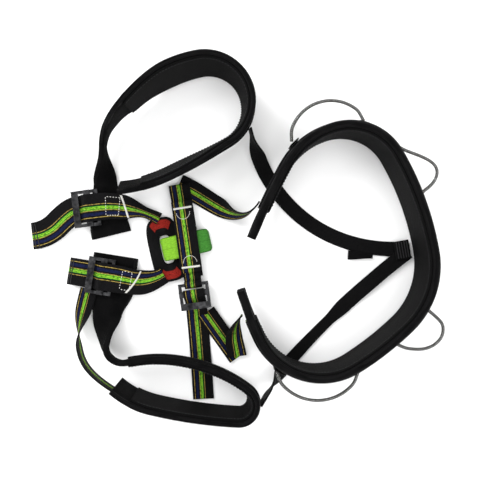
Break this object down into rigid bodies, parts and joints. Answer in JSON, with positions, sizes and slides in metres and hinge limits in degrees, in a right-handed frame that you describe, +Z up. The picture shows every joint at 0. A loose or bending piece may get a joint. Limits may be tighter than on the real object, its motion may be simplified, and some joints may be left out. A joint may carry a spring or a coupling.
{
  "type": "tree climbing saddle",
  "caption": "Padded waist belt and two padded leg loops with webbing adjusters, a belay loop, rear risers and swinging gear loops, lying open on the floor",
  "frame": {"origin": "middle of the underside of the bounding box, on the floor the saddle lies on", "axes": "+Z up off the floor; +X from the leg buckles to the back of the waist belt; +Y to the leg loop with the taller pad"},
  "size_m": [0.5234, 0.4594, 0.09],
  "materials": {
    "pad_fabric": "matt black woven cover",
    "spacer_mesh": "black open knitted mesh",
    "black_webbing": "black woven webbing",
    "striped_webbing": "black webbing with lime, blue and yellow stripes",
    "lime_webbing": "lime woven webbing",
    "red_webbing": "red woven wear liner",
    "orange_webbing": "orange-brown sewn end",
    "buckle_metal": "dark satin metal",
    "loop_tube": "clear tube over black cord"
  },
  "bodies": {
    "harness": {"waist_pad": "pad_fabric", "waist_lining": "spacer_mesh", "waist_webbing": "striped_webbing", "leg_pad_upper": "pad_fabric", "leg_lining_upper": "spacer_mesh", "leg_webbing_upper": "black_webbing", "leg_pad_lower": "pad_fabric", "leg_lining_lower": "spacer_mesh", "leg_webbing_lower": "black_webbing", "buckle_anchor_leg_upper": "striped_webbing", "buckle_anchor_leg_lower": "striped_webbing", "buckle_anchor_waist": "striped_webbing", "tie_in_base": "striped_webbing", "tie_in_cover": "striped_webbing", "waist_strap_upper": "striped_webbing", "waist_strap_lower": "striped_webbing", "waist_tail": "striped_webbing", "leg_strap_upper": "striped_webbing", "leg_strap_lower": "striped_webbing", "leg_adjuster_lower": "striped_webbing", "leg_bridge": "black_webbing", "wear_liner_upper": "red_webbing", "wear_liner_lower": "red_webbing", "riser_upper": "black_webbing", "riser_lower": "black_webbing", "riser_joint": "black_webbing", "riser_tail": "black_webbing", "gear_tab_front_right_a": "black_webbing", "gear_tab_front_right_b": "black_webbing", "gear_tab_rear_right_a": "black_webbing", "gear_tab_rear_right_b": "orange_webbing", "gear_tab_rear_left_a": "black_webbing", "gear_tab_rear_left_b": "black_webbing", "gear_tab_front_left_a": "black_webbing", "gear_tab_front_left_b": "black_webbing", "waist_strap_hook": "striped_webbing"},
    "leg_buckle_upper": {"buckle_frame_leg_upper": "buckle_metal", "buckle_strap_leg_upper": "striped_webbing"},
    "leg_slider_upper": {"buckle_slider_leg_upper": "buckle_metal"},
    "leg_buckle_lower": {"buckle_frame_leg_lower": "buckle_metal", "buckle_strap_leg_lower": "striped_webbing"},
    "leg_slider_lower": {"buckle_slider_leg_lower": "buckle_metal"},
    "waist_buckle": {"buckle_frame_waist": "buckle_metal", "buckle_strap_waist": "striped_webbing"},
    "waist_slider": {"buckle_slider_waist": "buckle_metal"},
    "belay": {"belay_loop": "lime_webbing"},
    "gear_front_right": {"gear_loop_front_right": "loop_tube"},
    "gear_rear_right": {"gear_loop_rear_right": "loop_tube"},
    "gear_rear_left": {"gear_loop_rear_left": "loop_tube"},
    "gear_front_left": {"gear_loop_front_left": "loop_tube"}
  },
  "joints": [
    {"name": "leg_buckle_upper_lift", "type": "hinge", "parent": "harness", "child": "leg_buckle_upper", "pos_m": [-0.1737, 0.04195, 0.014], "axis": [-0.1219, 0.9925, 0], "range_deg": [0, 25]},
    {"name": "leg_slider_upper_slide", "type": "slide", "parent": "leg_buckle_upper", "child": "leg_slider_upper", "axis": [0.9925, 0.1219, 0], "range_m": [0, 0.0018]},
    {"name": "leg_buckle_lower_lift", "type": "hinge", "parent": "harness", "child": "leg_buckle_lower", "pos_m": [-0.15608, -0.04865, 0.014], "axis": [0.1564, 0.9877, 0], "range_deg": [0, 25]},
    {"name": "leg_slider_lower_slide", "type": "slide", "parent": "leg_buckle_lower", "child": "leg_slider_lower", "axis": [0.9877, -0.1564, 0], "range_m": [0, 0.0018]},
    {"name": "waist_buckle_lift", "type": "hinge", "parent": "harness", "child": "waist_buckle", "pos_m": [-0.0516, -0.05693, 0.014], "axis": [-0.9903, -0.1392, 0], "range_deg": [0, 25]},
    {"name": "waist_slider_slide", "type": "slide", "parent": "waist_buckle", "child": "waist_slider", "axis": [-0.1392, 0.9903, 0], "range_m": [0, 0.0018]},
    {"name": "belay_swing", "type": "hinge", "parent": "harness", "child": "belay", "pos_m": [-0.06079, -0.0063, 0.007], "axis": [0, 0, 1], "range_deg": [-4, 4]},
    {"name": "gear_front_right_swing", "type": "hinge", "parent": "harness", "child": "gear_front_right", "pos_m": [0.11693, 0.13423, 0.045], "axis": [0.9626, 0.2708, 0], "range_deg": [-45, 45], "stiffness_Nm_per_rad": 0.03},
    {"name": "gear_rear_right_swing", "type": "hinge", "parent": "harness", "child": "gear_rear_right", "pos_m": [0.21875, 0.08644, 0.045], "axis": [0.4396, -0.8982, 0], "range_deg": [-45, 45], "stiffness_Nm_per_rad": 0.03},
    {"name": "gear_rear_left_swing", "type": "hinge", "parent": "harness", "child": "gear_rear_left", "pos_m": [0.22076, -0.10709, 0.045], "axis": [-0.6588, -0.7523, 0], "range_deg": [-45, 45], "stiffness_Nm_per_rad": 0.03},
    {"name": "gear_front_left_swing", "type": "hinge", "parent": "harness", "child": "gear_front_left", "pos_m": [0.10409, -0.16378, 0.045], "axis": [-1, 0.0016, 0], "range_deg": [-45, 45], "stiffness_Nm_per_rad": 0.03}
  ]
}
